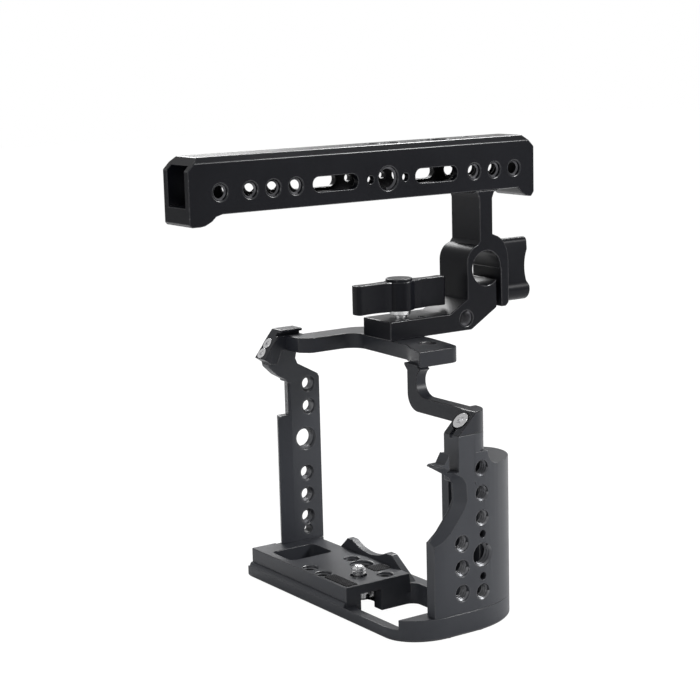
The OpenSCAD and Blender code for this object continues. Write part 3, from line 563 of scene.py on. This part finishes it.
def wind_thread(name, thread, length, inward=True):
    """A closed helical ridge along +Z from the origin, on a hole's wall or round a stud."""
    pitch = thread["pitch"]
    foot = thread["radius"] + (SINK if inward else -SINK)
    crest = thread["radius"] - thread["depth"] if inward else thread["radius"] + thread["depth"]
    bpy.ops.mesh.primitive_circle_add(vertices=4, radius=SPECK, fill_type="NOTHING",
                                      enter_editmode=False)
    ridge = bpy.context.active_object
    ridge.name = name
    corners = [(foot, SINK), (crest, pitch * CREST_FROM), (crest, pitch * CREST_TO),
               (foot, pitch * FOOT_TO)]
    for vertex, (x, z) in zip(ridge.data.vertices, corners):
        vertex.co = (x * MM, 0, z * MM)
    turns = (length - pitch) / pitch
    whole = max(1, math.ceil(turns))
    share = turns / whole
    steps = max(FEWEST_SEGMENTS, round(SEGMENTS * share))
    apply(ridge, "SCREW", axis="Z", angle=math.tau * share, screw_offset=pitch * share * MM,
          iterations=whole, steps=steps, render_steps=steps,
          use_normal_calculate=True, use_merge_vertices=False)
    pick(ridge, "edges", lambda e: e.is_boundary)
    on_picked(ridge, close_ends)
    return ridge


print("one turn of a thread has", SEGMENTS, "steps")


# %% [markdown]
# A thread is wound once for each wall thickness, and copies of it are set in the holes, each
# with its own mesh. All the threads of one part are then joined into one piece.

# %% Tapping rows of holes
TURN = {"X": Matrix.Rotation(math.radians(90), 4, "Y"), "Z": Matrix.Identity(4)}
CHAMFER = 0.3                                # at both mouths of a tapped hole


def join_into(name, pieces):
    activate(pieces[0])
    for piece in pieces:
        piece.select_set(True)
    if len(pieces) > 1:
        bpy.ops.object.join()
    bpy.context.active_object.name = name
    return bpy.context.active_object


def tap_holes(name, body, slot, material, holes):
    """One piece with the threads of a part's tapped holes: thread, axis, start, length."""
    wound, threads = {}, []
    deselect()
    for thread, axis, start, length in holes:
        key = (thread["radius"], length)
        if key not in wound:
            wound[key] = wind_thread(name + "_ridge", thread, length)
        copy = wound[key].copy()
        copy.data = wound[key].data.copy()
        copy.data.transform(Matrix.Translation(Vector(start) * MM) @ TURN[axis])
        bpy.context.scene.collection.objects.link(copy)
        threads.append(copy)
    for ridge in wound.values():
        bpy.data.objects.remove(ridge)
    piece = join_into(name, threads)
    smooth(piece, ROUND_DEGREES)
    finish_piece(piece, body, slot, material)
    print(f"{name}: {len(holes)} threads, {len(piece.data.polygons)} faces")


def across(thread, x, wall, points):
    """Holes along X through a wall that starts at x."""
    return [(thread, "X", (x + CHAMFER, y, z), wall - 2 * CHAMFER) for y, z in points]


def upright(thread, z, wall, points):
    """Holes along Z through a wall that starts at z."""
    return [(thread, "Z", (x, y, z + CHAMFER), wall - 2 * CHAMFER) for x, y in points]


print("threads start", CHAMFER, "mm inside each hole")


# %% [markdown]
# The holes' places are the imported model's. Small ones are for quarter inch screws, and the
# large one in the middle of a row takes a three eighths inch screw.

# %% Threads of the cage
LEFT_X, LEFT_WALL, LEFT_Y, LEFT_UPPER_Y = -62.5, 5.5, 12.7, 14.7
GRIP_X, GRIP_WALL, GRIP_Y, GRIP_BACK_Y = 50.5, 6.0, 21.0, 10.6
ARM_Z, ARM_THICK = 86.5, 6.5

tap_holes("left_panel_threads", "cage", "anodised_grey", grey_thread,
          across(QUARTER, LEFT_X, LEFT_WALL,
                 [(LEFT_Y, 10.3), (LEFT_Y, 20.3), (LEFT_Y, 30.3),
                  (LEFT_UPPER_Y, 59.9), (LEFT_UPPER_Y, 69.9)])
          + across(THREE_EIGHTHS, LEFT_X, LEFT_WALL, [(LEFT_Y, 45.7)]))
tap_holes("grip_panel_threads", "cage", "anodised_grey", grey_thread,
          across(QUARTER, GRIP_X, GRIP_WALL,
                 [(GRIP_Y, 2.7), (GRIP_Y, 32.7), (GRIP_Y, 42.7), (GRIP_Y, 52.7),
                  (GRIP_BACK_Y, 4.2), (GRIP_BACK_Y, 14.2), (GRIP_BACK_Y, 24.2)])
          + across(THREE_EIGHTHS, GRIP_X, GRIP_WALL, [(GRIP_Y, 17.7)]))
tap_holes("base_threads", "cage", "anodised_grey", grey_thread,
          upright(QUARTER, BASE_BOTTOM, -BASE_BOTTOM,
                  [(-20.6, -10.4), (-10.6, -10.4), (-20.6, 10.7), (6.4, 8.9)])
          + upright(THREE_EIGHTHS, BASE_BOTTOM, -BASE_BOTTOM, [(-11.8, 9.7)]))
tap_holes("arm_threads", "cage", "anodised_black", black_thread,
          upright(QUARTER, ARM_Z, ARM_THICK, [(1.5, 36.5)]))

# %% [markdown]
# The handle bar is a channel with two side walls, and every hole in its sides goes through both.
# Its top is tapped between the walls, and the foot has one quarter inch hole in its side.

# %% Threads of the handle
BAR_LEFT, BAR_RIGHT, BAR_WALL, BAR_Z, BAR_TOP = -32.0, -15.2, 3.2, 161.1, 175.0
bar_small = [(y, BAR_Z) for y in (-51.9, -38.3, -27.7, -17.1, 73.0, 83.9, 94.8)]
bar_large = [(28.0, BAR_Z)]

tap_holes("bar_threads", "handle", "anodised_black", black_thread,
          across(QUARTER, BAR_LEFT, BAR_WALL, bar_small)
          + across(QUARTER, BAR_RIGHT, BAR_WALL, bar_small)
          + across(THREE_EIGHTHS, BAR_LEFT, BAR_WALL, bar_large)
          + across(THREE_EIGHTHS, BAR_RIGHT, BAR_WALL, bar_large)
          + upright(QUARTER, BAR_TOP - BAR_WALL, BAR_WALL, [(-22.0, 27.0), (-22.0, 37.0)])
          + upright(THREE_EIGHTHS, BAR_TOP - BAR_WALL, BAR_WALL, [(-22.0, 61.0)]))
tap_holes("neck_thread", "handle", "anodised_black", black_thread,
          [(QUARTER, "X", (-20.6, 67.7, 98.2), 8.2)])


# %% [markdown]
# The camera screw is a silver thumb screw: a knurled head with a coin slot, a narrow shank that
# keeps it captive, and a short thread with a rounded tip. Primitives are the start: the head's
# rim is inset face by face and pressed in for the knurl, and a boolean cuts the slot.

# %% Head of the camera screw
HEAD_R, HEAD_LOW, HEAD_HIGH, HEAD_SIDES = 6.5, -8.5, -4.3, 60
KNURL_LAND, KNURL_DEPTH = 0.09, 0.16
RIM_ROUND, RIM_ANGLE = 0.35, 1.2             # millimetres, radians
SLOT_LENGTH, SLOT_WIDTH, SLOT_HEIGHT, SLOT_OFFSET = 20, 1.8, 2.8, 0.4
SIDE_MEETS_END = ({0, 1}, {0, -1})           # the two faces' normals in z, rounded


def turned(name, radius, low, high, vertices):
    """A cylinder on the screw's axis between two heights, in millimetres."""
    bpy.ops.mesh.primitive_cylinder_add(vertices=vertices, radius=radius * MM,
                                        depth=(high - low) * MM,
                                        location=(0, 0, (low + high) / 2 * MM))
    piece = bpy.context.active_object
    piece.name = name
    settle(piece)
    return piece


def is_head_rim(edge):
    return (len(edge.link_faces) == 2
            and {round(f.normal.z) for f in edge.link_faces} in SIDE_MEETS_END
            and edge.calc_face_angle(0) > RIM_ANGLE)


deselect()
head = turned("head", HEAD_R, HEAD_LOW, HEAD_HIGH, HEAD_SIDES)
pick(head, "faces", lambda f: abs(f.normal.z) < 0.1)
on_picked(head, lambda: bpy.ops.mesh.inset(thickness=KNURL_LAND * MM, depth=-KNURL_DEPTH * MM,
                                           use_individual=True))
pick(head, "edges", is_head_rim)
on_picked(head, lambda: bpy.ops.mesh.bevel(offset=RIM_ROUND * MM, segments=2,
                                           clamp_overlap=True))
bpy.ops.mesh.primitive_cube_add(size=1, location=(0, 0, (HEAD_LOW + SLOT_OFFSET) * MM),
                                scale=(SLOT_LENGTH * MM, SLOT_WIDTH * MM, SLOT_HEIGHT * MM))
slot_cutter = bpy.context.active_object
apply(head, "BOOLEAN", operation="DIFFERENCE", object=slot_cutter, solver="EXACT")
bpy.data.objects.remove(slot_cutter)
print("head:", len(head.data.polygons), "faces")

# %% [markdown]
# The shank's end is inset and raised twice, which rounds the tip, and the thread is the same
# wound ridge as before, outwards this time.

# %% Shank and thread of the camera screw
CORE_R, CORE_LOW, CORE_HIGH, CORE_SIDES = 2.46, -4.6, 3.3, 40
TIP_STEPS = ((0.5, 0.55), (0.8, 0.3))        # inwards and up, millimetres
STUD = {"radius": 2.44, "pitch": 1.27, "depth": 0.64}
STUD_LENGTH, STUD_FROM, STUD_DEGREES = 3.9, 0.12, 34


def round_tip():
    for inward, up in TIP_STEPS:
        bpy.ops.mesh.inset(thickness=inward * MM)
        bpy.ops.transform.translate(value=(0, 0, up * MM))


core = turned("core", CORE_R, CORE_LOW, CORE_HIGH, CORE_SIDES)
pick(core, "faces", lambda f: f.normal.z > 0.9)
on_picked(core, round_tip)
stud = wind_thread("stud", STUD, STUD_LENGTH, inward=False)
stud.data.transform(Matrix.Translation((0, 0, STUD_FROM * MM)))
camera_screw = join_into("camera_screw_turned", [head, core, stud])
smooth(camera_screw, STUD_DEGREES)
finish_piece(camera_screw, "camera_screw_unit", "steel", steel)
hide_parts("camera_screw")
print("camera screw:", len(camera_screw.data.polygons), "faces")


# %% [markdown]
# Two rubber pads keep the camera from turning on the base. Their tops are covered with small
# pyramids. A grid is turned by 45 degrees, each of its squares is poked up to a point, and
# bisect cuts it to the pad's outline. Its rim is then pulled down and closed.

# %% Friction pads
HATCH_PITCH, HATCH_RISE = 0.85, 0.22
PAD_MARGIN, PAD_LIFT = 0.15, 0.02            # inside the part's outline, over its underside
GRID_OVERSIZE = 1.5                          # the turned grid has to cover the corners


def hatched_pad(name, node):
    low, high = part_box(node)
    size = max(high.x - low.x, high.y - low.y) * GRID_OVERSIZE
    cells = round(size / (HATCH_PITCH * MM))
    centre = (low + high) / 2
    top = high.z - HATCH_RISE * MM
    deselect()
    bpy.ops.mesh.primitive_grid_add(x_subdivisions=cells, y_subdivisions=cells, size=size,
                                    location=(centre.x, centre.y, top),
                                    rotation=(0, 0, math.radians(45)))
    pad = bpy.context.active_object
    pad.name = name
    settle(pad)
    on_all(pad, lambda: bpy.ops.mesh.poke(offset=HATCH_RISE * MM))
    margin = PAD_MARGIN * MM
    planes = [((low.x + margin, 0, 0), (-1, 0, 0)), ((high.x - margin, 0, 0), (1, 0, 0)),
              ((0, low.y + margin, 0), (0, -1, 0)), ((0, high.y - margin, 0), (0, 1, 0))]
    for point, normal in planes:
        on_all(pad, lambda: bpy.ops.mesh.bisect(plane_co=point, plane_no=normal,
                                                clear_outer=True))
    pick(pad, "edges", lambda e: e.is_boundary)
    foot = (centre.x, centre.y, low.z + PAD_LIFT * MM)
    on_picked(pad, bpy.ops.mesh.extrude_region_move,
              lambda: bpy.ops.transform.resize(value=(1, 1, 0), center_override=foot),
              close_ends)
    finish_piece(pad, "cage", "pad", pad_rubber)
    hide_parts(node)
    print(f"{name}: {len(pad.data.polygons)} faces")


hatched_pad("rear_pad_hatched", "rear_friction_pad")
hatched_pad("front_pad_hatched", "front_friction_pad")


# %% [markdown]
# Behind the block the base's lower plate doesn't end in a flat step: its top swells up in a
# round shoulder against the block. A strip with a quarter oval section makes that shoulder. A
# flat outline is drawn first and pulled out into a prism, which the ear's seat uses as well.

# %% Shoulder behind the base block
SHOULDER_OUT, SHOULDER_UP, SHOULDER_STEPS = 1.42, 1.9, 8
SHOULDER_FROM, SHOULDER_TO = -60.9, 11.9
BLOCK_BACK, PLATE_TOP = -14.5, -8.0
OVERLAP = 0.02                               # into the block and the plate


def prism(name, corners, length):
    """A flat outline of points in millimetres, pulled out along X."""
    deselect()
    bpy.ops.mesh.primitive_circle_add(vertices=len(corners), radius=SPECK, fill_type="NGON")
    piece = bpy.context.active_object
    piece.name = name
    for vertex, corner in zip(piece.data.vertices, corners):
        vertex.co = tuple(c * MM for c in corner)
    pull = {"value": (length * MM, 0, 0)}
    on_all(piece, lambda: bpy.ops.mesh.extrude_region_move(TRANSFORM_OT_translate=pull),
           face_outward)
    settle(piece)
    return piece


arc = [math.radians(90 * i / SHOULDER_STEPS) for i in range(SHOULDER_STEPS + 1)]
section = [(OVERLAP, -OVERLAP)]
section += [(-SHOULDER_OUT * math.cos(t), SHOULDER_UP * math.sin(t)) for t in arc]
shoulder = prism("base_shoulder",
                 [(SHOULDER_FROM, BLOCK_BACK + y, PLATE_TOP + z) for y, z in section],
                 SHOULDER_TO - SHOULDER_FROM)
smooth(shoulder, ROUND_DEGREES)
finish_piece(shoulder, "cage", "anodised_grey", grey_body)
print("shoulder:", len(shoulder.data.polygons), "faces")


# %% [markdown]
# At the left end of the top frame two screws go into a slanted face. The face is carried on
# downwards by a small wedge, so that the lower screw's head lies in a counterbore like the upper
# one's. The wedge is a pulled-out triangle, and a boolean cuts the counterbore.

# %% Seat of the lower ear screw
EAR_LEFT, EAR_WIDTH, EAR_BACK, EAR_LOW = -62.5, 7.8, -5.6, 81.0
EAR_TOP, EAR_RUN, EAR_RISE = 95.5, 6.0, 7.8
EAR_INSET = 0.1                              # from the ear's sides
EAR_OVERLAP = 0.05                           # into the ear's back
SEAT_LAP, SEAT_LIFT = 0.1, 0.6               # over the slant's end and the ear's lower end
SLANT = math.atan2(EAR_RISE, EAR_RUN)
SLANT_END, SEAT_EDGE = 14.9, 0.2
SCREW_AT, SCREW_OFF_MIDDLE = 12.2, 1         # along the slant, and to the left
HEAD_ROOM, HEAD_DEPTH, DRILL_LENGTH, DRILL_SIDES = 2.6, 1.6, 10, 48


def on_slant(along):
    """A point that lies this many millimetres down the slanted face."""
    return Vector((0, EAR_BACK + EAR_RUN - along * math.cos(SLANT),
                   EAR_TOP - along * math.sin(SLANT)))


seat_left = Vector((EAR_LEFT + EAR_INSET, 0, 0))
seat_top = on_slant(math.hypot(EAR_RUN, EAR_RISE) - SEAT_LAP) + Vector((0, EAR_OVERLAP, 0))
seat_corners = [seat_top, on_slant(SLANT_END),
                Vector((0, EAR_BACK + EAR_OVERLAP, EAR_LOW + SEAT_LIFT))]
ear_seat = prism("ear_screw_seat", [corner + seat_left for corner in seat_corners],
                 EAR_WIDTH - 2 * EAR_INSET)
screw_axis = Vector((0, -math.sin(SLANT), math.cos(SLANT)))
screw_middle = Vector((EAR_LEFT + EAR_WIDTH / 2 - SCREW_OFF_MIDDLE, 0, 0))
drill_at = (on_slant(SCREW_AT) + screw_middle + screw_axis * (DRILL_LENGTH / 2 - HEAD_DEPTH)) * MM
bpy.ops.mesh.primitive_cylinder_add(vertices=DRILL_SIDES, radius=HEAD_ROOM * MM,
                                    depth=DRILL_LENGTH * MM, location=drill_at,
                                    rotation=(SLANT, 0, 0))
counterbore = bpy.context.active_object
apply(ear_seat, "BOOLEAN", operation="DIFFERENCE", object=counterbore, solver="EXACT")
bpy.data.objects.remove(counterbore)
set_materials(ear_seat, rail_body, black_edge)
for polygon in ear_seat.data.polygons:
    polygon.material_index = BODY_FINISH
smooth(ear_seat)
apply(ear_seat, "BEVEL", width=SEAT_EDGE * MM, segments=2, limit_method="ANGLE",
      angle_limit=SHARP, use_clamp_overlap=True, material=EDGE_FINISH, harden_normals=True)
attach(ear_seat, "cage")
print("seat of the ear screw:", len(ear_seat.data.polygons), "faces")

# %% [markdown]
# The camera stands where the photographer's did. Its focal length comes from the frame's width
# in pixels, and its three axes from azimuth, elevation and a little roll.

# %% Camera
AZIMUTH, ELEVATION, ROLL = math.radians(55.85), math.radians(10.30), math.radians(1.46)
CAMERA_AT = (0.5802, -0.3950, 0.2220)
FOCAL_PX, FRAME_PX, SENSOR_MM = 1765.8, 700, 36
forward = Vector((-math.sin(AZIMUTH) * math.cos(ELEVATION),
                  math.cos(AZIMUTH) * math.cos(ELEVATION), -math.sin(ELEVATION)))
right = Vector((math.cos(AZIMUTH), math.sin(AZIMUTH), 0))
down = forward.cross(right)
rolled_right = math.cos(ROLL) * right + math.sin(ROLL) * down
rolled_down = math.cos(ROLL) * down - math.sin(ROLL) * right
lens = bpy.data.cameras.new("camera")
lens.sensor_width = SENSOR_MM
lens.lens = FOCAL_PX / FRAME_PX * lens.sensor_width
lens.clip_start, lens.clip_end = 0.01, 20
camera = bpy.data.objects.new("camera", lens)
axes = Matrix((rolled_right, -rolled_down, -forward)).transposed().to_4x4()
camera.matrix_world = Matrix.Translation(CAMERA_AT) @ axes
bpy.context.scene.collection.objects.link(camera)
bpy.context.scene.camera = camera
print("lens", round(lens.lens, 2), "mm")

# %% [markdown]
# Such a product is photographed on white paper. The camera has to see the paper as pure white,
# and yet the object's soft shadow on it. So for the camera's own rays the floor is mostly a
# light of its own, with a tenth left as paper that takes the shadow, and for all other rays it
# is plain paper.

# %% Floor
PAPER, GLOW, GLOW_SHARE = 0.92, 1.09, 0.90
FLOOR_SIZE, FLOOR_GAP = 6, 0.0002            # metres

bpy.context.scene.view_settings.view_transform = "Standard"
deselect()
bpy.ops.mesh.primitive_plane_add(size=FLOOR_SIZE, location=(0, 0, cad_low.z - FLOOR_GAP))
floor = bpy.context.active_object
floor.name = "floor"
floor_shader = Shader(bpy.data.materials.new("floor"))
seen = floor_shader.node("ShaderNodeLightPath", out="Is Camera Ray")
paper = floor_shader.node("ShaderNodeBsdfDiffuse", sockets={"Color": (PAPER, PAPER, PAPER, 1)})
white = floor_shader.node("ShaderNodeEmission", sockets={"Color": (1, 1, 1, 1), "Strength": GLOW})
mixed = floor_shader.node("ShaderNodeMixShader", sockets={0: seen * GLOW_SHARE, 1: paper, 2: white})
floor_out = floor_shader.tree.nodes.new("ShaderNodeOutputMaterial")
floor_shader.tree.links.new(mixed.socket, floor_out.inputs["Surface"])
floor.data.materials.append(floor_shader.block)
print("floor at", round(floor.location.z / MM, 1), "mm")

# %% [markdown]
# The sky is white for the camera, rather dim where it only lights the object, and in between in
# mirror-like surfaces, which would look like chalk under a white sky.

# %% Sky
DIM, MIRRORED = 0.34, 0.35                   # light for all rays, share that mirrors add
world = bpy.data.worlds.new("studio")
bpy.context.scene.world = world
sky = Shader(world)
path = sky.tree.nodes.new("ShaderNodeLightPath")
shown = (Value(sky, path.outputs["Is Camera Ray"])
         + Value(sky, path.outputs["Is Transmission Ray"])
         + Value(sky, path.outputs["Is Glossy Ray"]) * MIRRORED)
background = sky.node("ShaderNodeBackground",
                      sockets={"Color": (1, 1, 1, 1), "Strength": DIM + (1 - DIM) * shown})
sky_out = sky.tree.nodes.new("ShaderNodeOutputWorld")
sky.tree.links.new(background.socket, sky_out.inputs["Surface"])
print("sky strength from", DIM, "to 1")


# %% [markdown]
# Three square lamps hang high up, one to the right and two behind, where only upper edges and
# chamfers mirror them towards the camera. That is what draws a black object's edges. A large
# weak lamp beside the camera, on its left, fills the faces in between.

# %% Lamps
MIDDLE = (0, 0.02, 0.08)                     # what all lamps aim at, metres


def lamp(name, place, size, power):
    light = bpy.data.lights.new(name, "AREA")
    light.shape, light.size, light.energy = "SQUARE", size, power
    holder = bpy.data.objects.new(name, light)
    holder.location = place
    holder.rotation_mode = "QUATERNION"
    holder.rotation_quaternion = (Vector(MIDDLE) - Vector(place)).to_track_quat("-Z", "Y")
    bpy.context.scene.collection.objects.link(holder)


lamp("front_right", (0.62, 0.52, 0.48), 0.20, 4.6)
lamp("back_right", (-0.41, 0.52, 0.70), 0.22, 4.2)
lamp("back_left", (-0.73, 0.26, 0.55), 0.30, 2.8)
lamp("fill", (0.35, -0.80, 0.35), 0.45, 1.4)
print("lamps:", [light.name for light in bpy.data.lights])
